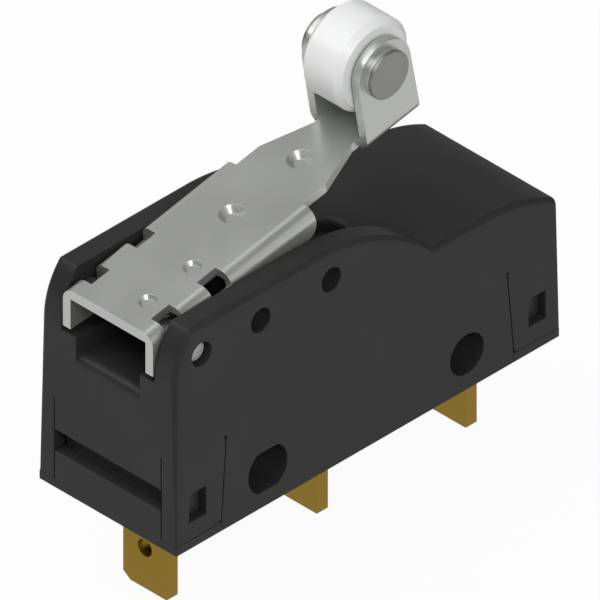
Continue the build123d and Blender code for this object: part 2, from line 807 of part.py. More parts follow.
# Lever: channel over the hinge, web, dimples, waisted neck and roller fork
with BuildPart() as lever:
    with BuildSketch(section_plane.offset(-heel_room)) as channel:
        with Locations((0, (web_rise - lug_room) / 2)):
            Rectangle(lever_width, web_rise + lug_room)
        fillet(channel.vertices().group_by(Axis.Y)[-1], lever_bend_radius)
        with Locations((0, (web_low - lug_room) / 2)):
            inside = Rectangle(lever_width - 2 * sheet, web_low + lug_room, mode=Mode.PRIVATE)
        add(inside, mode=Mode.SUBTRACT)
    extrude(amount=heel_room + flange_end)
    with BuildSketch(side_plane) as flange_side:
        Polygon(
            lever_side(left - hinge_x, -heel_drop),
            (lug_reach, -lug_drop),
            (lug_rise_reach, web_rise - flange_depth),
            (flange_end, web_rise - flange_depth),
            (flange_end, web_rise + 1),
            lever_side(left - hinge_x, web_rise + lug_room),
            align=None,
        )
        fillet(
            nearest(flange_side.vertices(), (flange_end, web_rise - flange_depth)),
            flange_end_round,
        )
    extrude(amount=lever_width, both=True, mode=Mode.INTERSECT)
    with BuildSketch(web_plane):
        Polygon(
            (flange_end - 1, -neck_width / 2),
            (neck_start, -neck_width / 2),
            (neck_waist_start, -neck_waist / 2),
            (fork_start + sheet, -neck_waist / 2),
            (fork_start + sheet, neck_waist / 2),
            (neck_waist_start, neck_waist / 2),
            (neck_start, neck_width / 2),
            (flange_end - 1, neck_width / 2),
            align=None,
        )
    extrude(amount=-sheet)
    for along, across in small_dimples:
        pressed_dimple(along, across, small_dimple_d, small_dimple_depth, small_dimple_taper)
    for along, across in cone_dimples:
        pressed_dimple(along, across, cone_dimple_d, cone_dimple_depth, cone_dimple_taper)
    with BuildSketch(side_plane):
        Circle(hinge_pin_d / 2 + lever_hole_gap)
    extrude(amount=lever_width, both=True, mode=Mode.SUBTRACT)
    with BuildSketch(web_plane):
        for start, finish in notch_spans:
            for side in (-1, 1):
                with Locations(((start + finish) / 2, side * (notch_inner + lever_width / 4))):
                    Rectangle(finish - start, lever_width / 2)
    extrude(amount=-notch_depth, mode=Mode.SUBTRACT)
    add(fork.part)
lever.part.label = "lever"
export_step(lever.part, "parts/lever.step")

# Roller, turning on the shank of its rivet pin
with BuildPart() as roller:
    with BuildSketch(Plane.XZ.offset(-roller_width / 2)) as roller_face:
        with Locations((axle_x, axle_z)):
            Circle(roller_d / 2)
            Circle(axle_d / 2 + axle_gap, mode=Mode.SUBTRACT)
    extrude(amount=roller_width)
    rims = roller.edges().filter_by(GeomType.CIRCLE).group_by(SortBy.RADIUS)[-1]
    chamfer(rims, roller_edge)
roller.part.label = "roller"
export_step(roller.part, "parts/roller.step")

# Rivet pin with a flat head at each end, and a washer under each head
with BuildPart() as roller_pin:
    with BuildSketch(Plane.XZ):
        with Locations((axle_x, axle_z)):
            Circle(axle_d / 2)
    extrude(amount=head_face, both=True)
    for side in (-1, 1):
        with BuildSketch(Plane.XZ.offset(side * (head_face - axle_head))):
            with Locations((axle_x, axle_z)):
                Circle(axle_head_d / 2)
        extrude(amount=side * axle_head)
    for rim in (roller_pin.faces().sort_by(Axis.Y)[0], roller_pin.faces().sort_by(Axis.Y)[-1]):
        chamfer(rim.edges(), axle_head_edge)
roller_pin.part.label = "roller_pin"
export_step(roller_pin.part, "parts/roller_pin.step")

with BuildPart() as pin_washers:
    for side in (-1, 1):
        with BuildSketch(Plane.XZ.offset(side * fork_width / 2)):
            with Locations((axle_x, axle_z)):
                Circle(washer_d / 2)
                Circle(axle_d / 2, mode=Mode.SUBTRACT)
        extrude(amount=side * washer_thickness)
pin_washers.part.label = "pin_washers"
export_step(pin_washers.part, "parts/pin_washers.step")

# Coil spring that lifts the lever from its pocket in the trough
with BuildPart() as lift_spring:
    with BuildLine() as coil:
        Helix(
            pitch=lift_pitch,
            height=lift_turns * lift_pitch,
            radius=lift_radius,
            center=(lift_x, 0, lift_low_z),
        )
    wire_start = Plane(origin=coil.line @ 0, z_dir=coil.line % 0)
    with BuildSketch(wire_start):
        RegularPolygon(lift_wire_d / 2, 6)
    sweep(path=coil.line)
lift_spring.part.label = "lift_spring"
export_step(lift_spring.part, "parts/lift_spring.step")
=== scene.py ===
import math

import bmesh
import bpy
from bpy.props import FloatProperty, FloatVectorProperty, IntProperty, PointerProperty
from bpy.types import Operator, Panel, PropertyGroup
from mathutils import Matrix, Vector


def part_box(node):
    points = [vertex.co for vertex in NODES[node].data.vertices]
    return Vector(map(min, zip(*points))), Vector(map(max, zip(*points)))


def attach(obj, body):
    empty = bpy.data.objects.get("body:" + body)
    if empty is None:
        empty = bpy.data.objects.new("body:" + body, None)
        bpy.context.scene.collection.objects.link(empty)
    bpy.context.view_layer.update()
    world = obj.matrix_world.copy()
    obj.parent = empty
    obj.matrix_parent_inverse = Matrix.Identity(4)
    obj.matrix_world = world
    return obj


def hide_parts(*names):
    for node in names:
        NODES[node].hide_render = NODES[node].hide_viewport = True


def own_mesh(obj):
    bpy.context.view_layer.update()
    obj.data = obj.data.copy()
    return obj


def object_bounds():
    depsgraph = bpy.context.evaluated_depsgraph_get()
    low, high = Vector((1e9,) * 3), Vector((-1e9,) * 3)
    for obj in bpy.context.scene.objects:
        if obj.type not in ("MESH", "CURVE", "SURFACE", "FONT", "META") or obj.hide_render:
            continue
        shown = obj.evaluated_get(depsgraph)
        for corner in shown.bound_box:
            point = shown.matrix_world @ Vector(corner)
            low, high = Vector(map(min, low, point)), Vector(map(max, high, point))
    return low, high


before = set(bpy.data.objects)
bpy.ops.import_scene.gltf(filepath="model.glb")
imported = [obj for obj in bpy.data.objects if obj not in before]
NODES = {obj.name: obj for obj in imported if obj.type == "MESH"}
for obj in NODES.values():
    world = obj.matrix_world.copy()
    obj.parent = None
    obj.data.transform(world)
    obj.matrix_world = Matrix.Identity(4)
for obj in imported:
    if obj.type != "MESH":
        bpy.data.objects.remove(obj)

bl_info = {
    "name": "Micro switch with roller lever",
    "version": (1, 0, 0),
    "blender": (4, 5, 0),
    "location": "3D View > Sidebar > Micro switch",
    "description": "Dresses the packed micro switch and sets its studio",
    "category": "Object",
}

CAD_LOW, CAD_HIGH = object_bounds()
MM = 0.001


def colour_property(name, description, default):
    """Colour setting with the usual limits."""
    return FloatVectorProperty(
        name=name, description=description, subtype="COLOR", size=3, min=0.0, max=1.0, default=default
    )


def length_property(name, description, default):
    """Length setting in metres."""
    return FloatProperty(
        name=name, description=description, subtype="DISTANCE", unit="LENGTH", min=0.0, default=default
    )


def share_property(name, description, default):
    """Setting between nought and one."""
    return FloatProperty(
        name=name, description=description, subtype="FACTOR", min=0.0, max=1.0, default=default
    )


def power_property(name, description, default):
    """Power of a lamp in watts."""
    return FloatProperty(name=name, description=description, unit="POWER", min=0.0, default=default)


def place_property(name, description, default):
    """Point or offset in metres."""
    return FloatVectorProperty(
        name=name, description=description, subtype="XYZ", unit="LENGTH", size=3, default=default
    )


def turn_property(name, description, default):
    """Angle setting in radians."""
    return FloatProperty(
        name=name, description=description, subtype="ANGLE", unit="ROTATION", default=default
    )


class StageSettings(PropertyGroup):
    """Camera, floor and light."""

    view_width: length_property("View width", "Width of the picture at the object", 0.05413)
    view_distance: length_property("View distance", "Distance of the camera from the view centre", 0.6)
    view_centre: place_property("View centre", "Middle of the picture", (-0.01261, 0.0, 0.00794))
    view_azimuth: turn_property("Azimuth", "Turn of the camera round the object", math.radians(-45))
    view_elevation: turn_property("Elevation", "Height angle of the camera", math.atan(math.sqrt(0.5)))
    floor_size: length_property("Floor size", "Side of the square floor", 3.0)
    floor_colour: colour_property("Floor colour", "Colour of the floor as it is seen", (0.87, 0.87, 0.87))
    floor_bounce: colour_property("Floor bounce", "Colour that the floor throws back", (0.42, 0.42, 0.42))
    floor_glow: share_property("Floor glow", "How much the floor is lifted to white for the camera", 0.94)
    floor_gloss: share_property("Floor gloss", "How much the floor is lifted to white in the metal", 1.0)
    floor_far: share_property("Far floor", "The same lift on the floor far behind the roller end", 0.0)
    sky_low: share_property("Low sky", "Brightness of the surroundings near the horizon", 0.8)
    sky_high: share_property("High sky", "Brightness of the surroundings overhead", 0.18)
    sky_side: share_property("Side sky", "Share of that brightness at the roller end's side", 0.25)
    sky_far: share_property("Far sky", "Share of that brightness on the side away from the camera", 0.78)
    sky_left: share_property("Left sky", "Share of that brightness at the hinge end's side", 0.35)
    top_power: power_property("Top light", "Power of the light overhead", 1.8)
    top_size: length_property("Top light size", "Side of the light overhead", 0.5)
    top_place: place_property("Top light place", "Offset from the view centre", (-0.15, 0.12, 0.48))
    front_power: power_property("Front light", "Power of the light beside the camera", 2.5)
    front_size: length_property("Front light size", "Side of the light beside the camera", 0.3)
    front_place: place_property("Front light place", "Offset from the view centre", (-0.33, -0.58, 0.44))
    rim_power: power_property("Rim light", "Power of the small light on the far left", 0.22)
    rim_size: length_property("Rim light size", "Side of the small light", 0.08)
    rim_place: place_property("Rim light place", "Offset from the view centre", (-0.28, 0.28, 0.28))


class CaseSettings(PropertyGroup):
    """Moulded case and base."""

    colour: colour_property("Case colour", "Colour of the moulded case", (0.027, 0.027, 0.0265))
    roughness: share_property("Roughness", "Roughness of the moulded surface", 0.32)
    shine: share_property("Shine", "Strength of the surface reflection", 0.11)
    grain_size: length_property("Grain size", "Size of the mould's fine grain", 0.00022)
    grain_depth: length_property("Grain depth", "Depth of the mould's fine grain", 0.000004)
    edge_width: length_property("Edge width", "Width of the softened edges", 0.00012)
    block_height: length_property("Block height", "Top of the block above the underside", 0.0174)
    trough_width: length_property("Trough width", "Width between the cheeks", 0.01195)
    trough_floor: length_property("Trough floor", "Floor of the trough above the underside", 0.0159)
    foot_reach: length_property("Ramp foot", "Foot of the cheeks' ramps from the roller end", 0.01588)
    well_reach: length_property("Well end", "End of the trough's round well from the roller end", 0.01881)
    well_radius: length_property("Well radius", "Radius of the trough's round end", 0.003)
    well_rim: length_property("Well rim", "Rounding of the well's upper rim", 0.0006)


class TerminalSettings(PropertyGroup):
    """Brass tabs."""

    colour: colour_property("Brass colour", "Colour of the tabs", (0.245, 0.152, 0.007))
    roughness: share_property("Roughness", "Roughness of the rolled brass", 0.38)
    edge_width: length_property("Edge width", "Width of the softened edges", 0.00007)


class LeverSettings(PropertyGroup):
    """Pressed lever, its hinge pin and its lifting spring."""

    colour: colour_property("Steel colour", "Colour of the plated steel", (0.47, 0.48, 0.458))
    roughness: share_property("Roughness", "Roughness of the plated sheet", 0.34)
    edge_width: length_property("Edge width", "Width of the softened edges", 0.00005)
    # The lever's pin colour is dark as painted shade, for the pin lying in shadow inside the case.
    pin_colour: colour_property("Pin colour", "Colour of the hinge pin's barrel", (0.10, 0.10, 0.10))
    pin_lit_end_colour: colour_property("Pin end colour", "Painted light colour of the pin's ends", (0.42, 0.43, 0.42))
    pin_tip: length_property("Pin tip", "How much nearer to the case's faces the pin's ends come", 0.0004)
    wire_turns: IntProperty(name="Wire turns", description="Open turns of the spring", min=2, default=5)
    wire_thickness: length_property("Wire thickness", "Thickness of the lifting spring's wire", 0.0004)
    wire_colour: colour_property("Wire colour", "Colour of the spring wire", (0.46, 0.47, 0.48))
    wire_keep: share_property("Pressed height", "Share of the spring's height left when pressed", 0.938)


class RollerSettings(PropertyGroup):
    """Roller, its pin and the washers."""

    colour: colour_property("Roller colour", "Colour of the white plastic", (0.79, 0.80, 0.79))
    roughness: share_property("Roughness", "Roughness of the white plastic", 0.35)
    pin_colour: colour_property("Pin colour", "Colour of the rivet pin", (0.23, 0.23, 0.22))
    washer_colour: colour_property("Washer colour", "Colour of the washers", (0.56, 0.57, 0.55))
    edge_width: length_property("Edge width", "Width of the softened edges", 0.00008)


class MechanismSettings(PropertyGroup):
    """Pieces inside the case."""

    silver: colour_property("Contact silver", "Colour of the contacts", (0.72, 0.71, 0.68))
    bronze: colour_property("Spring bronze", "Colour of the snap spring", (0.58, 0.33, 0.16))
    steel: colour_property("Clamp steel", "Colour of clamp, rivet and bracket", (0.52, 0.53, 0.53))
    plunger: colour_property("Plunger colour", "Colour of the plunger", (0.03, 0.03, 0.03))
    edge_width: length_property("Edge width", "Width of the softened edges", 0.00006)


def node(tree, kind, place, **values):
    """New node of a kind at a grid place; keyword values go to its properties."""
    made = tree.nodes.new(kind)
    made.location = (place[0] * 190, place[1] * -170)
    for name, value in values.items():
        setattr(made, name, value)
    return made


def join(tree, *pairs):
    """Link pairs of output and input sockets."""
    for output, target in pairs:
        tree.links.new(output, target)


def shader_group(name, inputs, outputs):
    """Node group with named sockets, its input node and its output node."""
    group = bpy.data.node_groups.new(name, "ShaderNodeTree")
    for label, value in inputs.items():
        socket = group.interface.new_socket(name=label, in_out="INPUT", socket_type="NodeSocketFloat")
        socket.default_value = value
    for label, kind in outputs.items():
        group.interface.new_socket(name=label, in_out="OUTPUT", socket_type=kind)
    start = node(group, "NodeGroupInput", (-6, 0))
    end = node(group, "NodeGroupOutput", (6, 0))
    return group, start, end


def maths(tree, operation, place, first, second=None):
    """Math node fed with sockets or plain numbers; returns its result socket."""
    made = node(tree, "ShaderNodeMath", place, operation=operation)
    for index, value in enumerate((first, second)):
        if value is None:
            continue
        if isinstance(value, (int, float)):
            made.inputs[index].default_value = value
        else:
            tree.links.new(value, made.inputs[index])
    return made.outputs[0]


def scaled_place(tree, size_socket, place, stretch=(1.0, 1.0, 1.0)):
    """Object coordinates divided by a size, stretched along the three axes."""
    where = node(tree, "ShaderNodeTexCoord", place)
    stretched = node(tree, "ShaderNodeVectorMath", (place[0] + 1, place[1]), operation="MULTIPLY")
    stretched.inputs[1].default_value = stretch
    divided = node(tree, "ShaderNodeVectorMath", (place[0] + 2, place[1]), operation="SCALE")
    share = maths(tree, "DIVIDE", (place[0] + 1, place[1] + 1), 1.0, size_socket)
    join(
        tree,
        (where.outputs["Object"], stretched.inputs[0]),
        (stretched.outputs[0], divided.inputs[0]),
        (share, divided.inputs["Scale"]),
    )
    return divided.outputs[0]


def noise(tree, vector, place, scale, detail, roughness=0.5):
    """Noise value at a vector."""
    made = node(tree, "ShaderNodeTexNoise", place)
    made.inputs["Scale"].default_value = scale
    made.inputs["Detail"].default_value = detail
    made.inputs["Roughness"].default_value = roughness
    join(tree, (vector, made.inputs["Vector"]))
    return made.outputs[0]


def spread(tree, value, place, low, high, start=0.3, finish=0.7):
    """Map a value from start..finish to low..high."""
    made = node(tree, "ShaderNodeMapRange", place)
    made.inputs["From Min"].default_value = start
    made.inputs["From Max"].default_value = finish
    for name, limit in (("To Min", low), ("To Max", high)):
        if isinstance(limit, (int, float)):
            made.inputs[name].default_value = limit
        else:
            tree.links.new(limit, made.inputs[name])
    join(tree, (value, made.inputs["Value"]))
    return made.outputs[0]


def grain_group():
    """Fine grain of a mould, with slow changes of tone over the piece."""
    group, start, end = shader_group(
        "Moulded grain",
        {"Size": 0.0002, "Contrast": 0.06},
        {"Height": "NodeSocketFloat", "Tone": "NodeSocketFloat", "Sheen": "NodeSocketFloat"},
    )
    fine = scaled_place(group, start.outputs["Size"], (-4, 0))
    height = noise(group, fine, (0, 0), scale=1.0, detail=5.0, roughness=0.6)
    cloud = noise(group, fine, (0, 2), scale=0.03, detail=3.0)
    low = maths(group, "SUBTRACT", (0, 4), 1.0, start.outputs["Contrast"])
    high = maths(group, "ADD", (0, 5), 1.0, start.outputs["Contrast"])
    join(
        group,
        (height, end.inputs["Height"]),
        (spread(group, cloud, (2, 2), low, high), end.inputs["Tone"]),
        (spread(group, height, (2, 4), -0.05, 0.05), end.inputs["Sheen"]),
    )
    return group


def rolled_group():
    """Fine rolling lines of sheet metal, with cloudy handling marks."""
    group, start, end = shader_group(
        "Rolled sheet",
        {"Size": 0.0003, "Contrast": 0.05},
        {"Height": "NodeSocketFloat", "Tone": "NodeSocketFloat", "Sheen": "NodeSocketFloat"},
    )
    lines = scaled_place(group, start.outputs["Size"], (-4, 0), (0.12, 1.0, 1.0))
    even = scaled_place(group, start.outputs["Size"], (-4, 3))
    height = noise(group, lines, (0, 0), scale=1.6, detail=4.0, roughness=0.55)
    cloud = noise(group, even, (0, 3), scale=0.05, detail=4.0)
    low = maths(group, "SUBTRACT", (0, 5), 1.0, start.outputs["Contrast"])
    high = maths(group, "ADD", (0, 6), 1.0, start.outputs["Contrast"])
    join(
        group,
        (height, end.inputs["Height"]),
        (spread(group, cloud, (2, 3), low, high), end.inputs["Tone"]),
        (spread(group, cloud, (2, 5), -0.03, 0.03), end.inputs["Sheen"]),
    )
    return group


def edge_group():
    """Softened edges: a rounded normal and a mask of the edges, which carry wear and painted light."""
    group, start, end = shader_group(
        "Rubbed edges",
        {"Width": 0.0001, "Amount": 0.4},
        {"Normal": "NodeSocketVector", "Mask": "NodeSocketFloat"},
    )
    bevel = node(group, "ShaderNodeBevel", (-3, 0), samples=6)
    flat = node(group, "ShaderNodeNewGeometry", (-3, 2))
    dot = node(group, "ShaderNodeVectorMath", (-1, 1), operation="DOT_PRODUCT")
    join(
        group,
        (start.outputs["Width"], bevel.inputs["Radius"]),
        (bevel.outputs["Normal"], dot.inputs[0]),
        (flat.outputs["Normal"], dot.inputs[1]),
        (bevel.outputs["Normal"], end.inputs["Normal"]),
    )
    turned = maths(group, "SUBTRACT", (1, 1), 1.0, dot.outputs["Value"])
    where = scaled_place(group, start.outputs["Width"], (-4, 4))
    patches = noise(group, where, (0, 4), scale=0.12, detail=3.0)
    patchy = maths(group, "MULTIPLY", (2, 2), turned, spread(group, patches, (1, 4), 0.3, 3.5))
    wear_and_painted_light = maths(group, "MULTIPLY", (3, 2), patchy, start.outputs["Amount"])
    clamp = node(group, "ShaderNodeClamp", (4, 2))
    join(group, (wear_and_painted_light, clamp.inputs["Value"]), (clamp.outputs[0], end.inputs["Mask"]))
    return group


def lit_ends_group():
    """Mask of the two ends of a pin that lies along Y, where painted light goes."""
    group, start, end = shader_group("Cut ends", {"Half length": 0.007}, {"Mask": "NodeSocketFloat"})
    where = node(group, "ShaderNodeNewGeometry", (-4, 0))
    split = node(group, "ShaderNodeSeparateXYZ", (-3, 0))
    reach = maths(group, "ABSOLUTE", (-2, 0), split.outputs["Y"])
    limit = maths(group, "SUBTRACT", (-2, 2), start.outputs["Half length"], 0.05 * MM)
    mask = maths(group, "GREATER_THAN", (0, 0), reach, limit)
    join(group, (where.outputs["Position"], split.inputs[0]), (mask, end.inputs["Mask"]))
    return group


def shared_group(name):
    """The named node group, built the first time that it is asked for."""
    makers = {
        "Moulded grain": grain_group,
        "Rolled sheet": rolled_group,
        "Rubbed edges": edge_group,
        "Cut ends": lit_ends_group,
    }
    return bpy.data.node_groups.get(name) or makers[name]()


def finish_material(
    name, colour, roughness, surface, size, depth, contrast, edge_width, wear_and_light_share, wear_and_painted_light, **constants
):
    """Material of one surface group, with edges tinted for wear and painted light; constants go to the
    shader's own sockets.
    """
    material = bpy.data.materials.new(name)
    material.use_nodes = True
    tree = material.node_tree
    shader = tree.nodes["Principled BSDF"]
    for socket, value in constants.items():
        shader.inputs[socket.replace("_", " ")].default_value = value
    grain = node(tree, "ShaderNodeGroup", (-7, 0), node_tree=shared_group(surface))
    grain.inputs["Size"].default_value = size
    grain.inputs["Contrast"].default_value = contrast
    edges = node(tree, "ShaderNodeGroup", (-7, 2), node_tree=shared_group("Rubbed edges"))
    edges.inputs["Width"].default_value = edge_width
    edges.inputs["Amount"].default_value = wear_and_light_share
    toned = node(tree, "ShaderNodeVectorMath", (-5, 0), operation="SCALE")
    toned.inputs[0].default_value = colour
    # The edge mask mixes in an edge tone that is part wear and part painted highlight or shade.
    with_edge_wear_and_light = node(tree, "ShaderNodeMix", (-3, 0), data_type="RGBA")
    with_edge_wear_and_light.inputs["B"].default_value = (*wear_and_painted_light, 1.0)
    rough = maths(tree, "ADD", (-4, 2), grain.outputs["Sheen"], roughness)
    bump = node(tree, "ShaderNodeBump", (-3, 3))
    bump.inputs["Distance"].default_value = depth
    join(
        tree,
        (grain.outputs["Tone"], toned.inputs["Scale"]),
        (toned.outputs[0], with_edge_wear_and_light.inputs["A"]),
        (edges.outputs["Mask"], with_edge_wear_and_light.inputs["Factor"]),
        (with_edge_wear_and_light.outputs["Result"], shader.inputs["Base Color"]),
        (rough, shader.inputs["Roughness"]),
        (grain.outputs["Height"], bump.inputs["Height"]),
        (edges.outputs["Normal"], bump.inputs["Normal"]),
        (bump.outputs["Normal"], shader.inputs["Normal"]),
    )
    return material


def plastic(name, colour, roughness, shine, size, depth, edge_width, wear_and_painted_light):
    """Moulded plastic with fine grain."""
    return finish_material(
        name, colour, roughness, "Moulded grain", size, depth, 0.05, edge_width, 0.35, wear_and_painted_light,
        Specular_IOR_Level=shine,
    )


def metal(name, colour, roughness, edge_width, metallic=0.75, size=0.0003, depth=0.0000012):
    """Rolled or turned metal with fine lines and brighter edges, part wear and part painted highlight; a dull
    plating is less metallic.
    """
    wear_and_painted_light = [min(1.0, c * 1.25) for c in colour]
    return finish_material(
        name, colour, roughness, "Rolled sheet", size, depth, 0.02, edge_width, 0.3, wear_and_painted_light, Metallic=metallic
    )


def dress(material, *names):
    """Give CAD nodes a material in their own slots."""
    for name in names:
        slots = NODES[name].material_slots
        if not slots:
            raise RuntimeError(f"{name} has no material slot")
        for entry in slots:
            entry.material = material


def aim(obj, target):
    """Turn an object's -Z axis to a point."""
    obj.rotation_euler = (Vector(target) - obj.location).to_track_quat("-Z", "Y").to_euler()


def area_light(name, place, target, size, power):
    """Square soft light aimed at a point."""
    light = bpy.data.lights.new(name, "AREA")
    light.shape = "SQUARE"
    light.size = size
    light.energy = power
    lamp = bpy.data.objects.new(name, light)
    bpy.context.scene.collection.objects.link(lamp)
    lamp.location = place
    aim(lamp, target)


def rectangle(start, end, half, z):
    """Corners of a level rectangle, even about the mid-plane."""
    return [Vector((x, y, z)) for x, y in ((start, -half), (end, -half), (end, half), (start, half))]


def circle(centre, radius, sides, across, up):
    """Points of a circle round a centre, in the plane of two unit vectors."""
    turns = [math.tau * k / sides for k in range(sides)]
    return [centre + radius * (math.cos(a) * across + math.sin(a) * up) for a in turns]


def slot_outline(start, centre, radius, z):
    """Level outline of a slot whose far end is a half circle round the centre."""
    steps = 24
    outline = [Vector((start, -radius, z))]
    for i in range(steps + 1):
        angle = math.pi * (i / steps - 0.5)
        outline.append(Vector((centre + radius * math.cos(angle), radius * math.sin(angle), z)))
    outline.append(Vector((start, radius, z)))
    return outline


def solid(name, rings, smooth=False):
    """Closed mesh through rings of equal length, capped at both ends; smooth shades its long side."""
    made = bmesh.new()
    rows = [[made.verts.new(point) for point in ring] for ring in rings]
    for first, second in zip(rows, rows[1:]):
        for k in range(len(first)):
            n = (k + 1) % len(first)
            made.faces.new((first[k], first[n], second[n], second[k]))
    made.faces.new(list(reversed(rows[0])))
    made.faces.new(rows[-1])
    bmesh.ops.recalc_face_normals(made, faces=made.faces)
    for face in made.faces:
        face.smooth = smooth and len(face.verts) == 4
    mesh = bpy.data.meshes.new(name)
    made.to_mesh(mesh)
    made.free()
    obj = bpy.data.objects.new(name, mesh)
    bpy.context.scene.collection.objects.link(obj)
    return obj


def tube(name, path, radius, sides):
    """Closed smooth tube along a path of points."""
    rings = []
    for i, point in enumerate(path):
        along = (path[min(i + 1, len(path) - 1)] - path[max(i - 1, 0)]).normalized()
        side = along.cross(Vector((0, 0, 1))).normalized()
        rings.append(circle(point, radius, sides, side, side.cross(along)))
    return solid(name, rings, smooth=True)


def reshape(piece, tool, operation):
    """Boolean modifier on a CAD node, with a tool that isn't shown."""
    tool.hide_render = True
    change = NODES[piece].modifiers.new(tool.name, "BOOLEAN")
    change.object = tool
    change.operation = operation
    change.solver = "EXACT"


class MICROSWITCH_OT_stage(Operator):
    """Set the camera, the white floor, the surroundings and the soft lights"""

    bl_idname = "microswitch.stage"
    bl_label = "Set the stage"

    def execute(self, context):
        scene = context.scene
        settings = scene.microswitch_stage
        scene.view_settings.view_transform = "Standard"
        self.set_camera(scene, settings)
        self.set_floor(scene, settings)
        self.set_sky(scene, settings)
        centre = Vector(settings.view_centre)
        for name in ("top", "front", "rim"):
            place = centre + Vector(getattr(settings, name + "_place"))
            size = getattr(settings, name + "_size")
            power = getattr(settings, name + "_power")
            area_light(name + "_light", place, centre, size, power)
        return {"FINISHED"}

    def view_back(self, settings):
        """Unit vector from the object back to the camera."""
        turn, rise = settings.view_azimuth, settings.view_elevation
        return Vector((math.sin(turn) * math.cos(rise), -math.cos(turn) * math.cos(rise), math.sin(rise)))

    def set_camera(self, scene, settings):
        """Parallel camera at the photograph's angle."""
        data = bpy.data.cameras.new("camera")
        data.type = "ORTHO"
        data.ortho_scale = settings.view_width
        camera = bpy.data.objects.new("camera", data)
        scene.collection.objects.link(camera)
        camera.location = Vector(settings.view_centre) + self.view_back(settings) * settings.view_distance
        aim(camera, settings.view_centre)
        scene.camera = camera

    def set_floor(self, scene, settings):
        """Square floor under the tabs' tips, lifted to white for the camera and in the near metal."""
        half = settings.floor_size / 2
        mesh = bpy.data.meshes.new("floor")
        mesh.from_pydata(rectangle(-half, half, half, CAD_LOW.z), [], [(0, 1, 2, 3)])
        floor = bpy.data.objects.new("floor", mesh)
        scene.collection.objects.link(floor)
        material = bpy.data.materials.new("white_floor")
        material.use_nodes = True
        tree = material.node_tree
        shader = tree.nodes["Principled BSDF"]
        shader.inputs["Roughness"].default_value = 0.9
        shader.inputs["Specular IOR Level"].default_value = 0.1
        glow = node(tree, "ShaderNodeEmission", (0, 2))
        glow.inputs["Color"].default_value = (1.0, 1.0, 1.0, 1.0)
        path = node(tree, "ShaderNodeLightPath", (-4, 0))
        tone = node(tree, "ShaderNodeMix", (-2, 3), data_type="RGBA")
        tone.inputs["A"].default_value = (*settings.floor_bounce, 1.0)
        tone.inputs["B"].default_value = (*settings.floor_colour, 1.0)
        seen = maths(tree, "MULTIPLY", (-2, 0), path.outputs["Is Camera Ray"], settings.floor_glow)
        place = node(tree, "ShaderNodeNewGeometry", (-7, 2))
        split = node(tree, "ShaderNodeSeparateXYZ", (-6, 2))
        reach = maths(tree, "ADD", (-5, 2), split.outputs["X"], split.outputs["Y"])
        fade = spread(
            tree, reach, (-4, 2), settings.floor_gloss, settings.floor_far, start=0.03, finish=0.10
        )
        mirrored = maths(tree, "MULTIPLY", (-2, 1), path.outputs["Is Glossy Ray"], fade)
        share = maths(tree, "ADD", (-1, 0), seen, mirrored)
        mix = node(tree, "ShaderNodeMixShader", (2, 0))
        join(
            tree,
            (place.outputs["Position"], split.inputs[0]),
            (path.outputs["Is Camera Ray"], tone.inputs["Factor"]),
            (tone.outputs["Result"], shader.inputs["Base Color"]),
            (share, mix.inputs["Fac"]),
            (shader.outputs["BSDF"], mix.inputs[1]),
            (glow.outputs["Emission"], mix.inputs[2]),
            (mix.outputs["Shader"], tree.nodes["Material Output"].inputs["Surface"]),
        )
        mesh.materials.append(material)

    def set_sky(self, scene, settings):
        """Studio surroundings: white to the camera, else darker overhead, behind and beyond both ends."""
        world = bpy.data.worlds.new("studio")
        world.use_nodes = True
        scene.world = world
        tree = world.node_tree
        around = tree.nodes["Background"]
        where = node(tree, "ShaderNodeTexCoord", (-8, 0))
        split = node(tree, "ShaderNodeSeparateXYZ", (-7, 0))
        join(tree, (where.outputs["Generated"], split.inputs[0]))
        height = spread(
            tree, split.outputs["Z"], (-5, 0), settings.sky_low, settings.sky_high, start=0.5, finish=0.8
        )
        side = spread(tree, split.outputs["X"], (-5, 2), 1.0, settings.sky_side, start=0.5, finish=0.85)
        far = spread(tree, split.outputs["Y"], (-5, 4), 1.0, settings.sky_far, start=-0.3, finish=0.4)
        left = spread(tree, split.outputs["X"], (-5, 6), settings.sky_left, 1.0, start=-0.6, finish=0.0)
        across = maths(tree, "MULTIPLY", (-4, 2), side, left)
        shade = maths(tree, "MULTIPLY", (-3, 1), maths(tree, "MULTIPLY", (-4, 1), height, far), across)
        path = node(tree, "ShaderNodeLightPath", (-5, 3))
        seen = node(tree, "ShaderNodeMix", (-3, 0), data_type="FLOAT")
        seen.inputs["B"].default_value = 1.0
        join(
            tree,
            (path.outputs["Is Camera Ray"], seen.inputs["Factor"]),
            (shade, seen.inputs["A"]),
            (seen.outputs["Result"], around.inputs["Color"]),
        )


